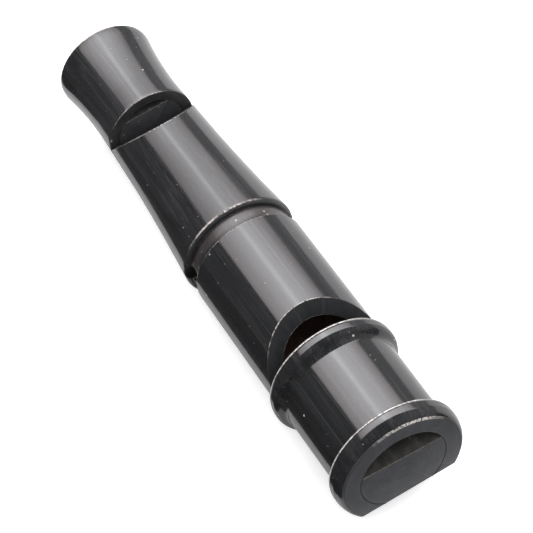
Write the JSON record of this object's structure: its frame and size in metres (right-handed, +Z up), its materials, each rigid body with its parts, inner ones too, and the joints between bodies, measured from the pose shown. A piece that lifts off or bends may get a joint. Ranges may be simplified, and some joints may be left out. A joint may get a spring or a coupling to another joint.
{
  "type": "double-ended horn dog whistle",
  "caption": "Hand-turned black horn dog whistle with a trill whistle at one end and a plain whistle at the other, a cord groove between them and a loose cork pea.",
  "frame": {"origin": "on the table under the middle of the whistle, which lies on its side with its windows up", "axes": "+X along the whistle's axis towards the trill end's flanged mouthpiece, +Z up through both windows"},
  "size_m": [0.086, 0.0194, 0.0193],
  "materials": {
    "polished_horn": "black buffalo horn, turned and polished",
    "sanded_horn": "black buffalo horn, cut and sanded",
    "cork": "natural cork"
  },
  "bodies": {
    "whistle": {"trill_body": "polished_horn", "plain_body": "polished_horn", "trill_plug": "sanded_horn", "plain_plug": "sanded_horn"},
    "pea": {"cork_pea": "cork"}
  },
  "joints": [
    {"name": "pea_slide", "type": "slide", "parent": "whistle", "child": "pea", "axis": [1, 0, 0], "range_m": [0, 0.0116]}
  ]
}
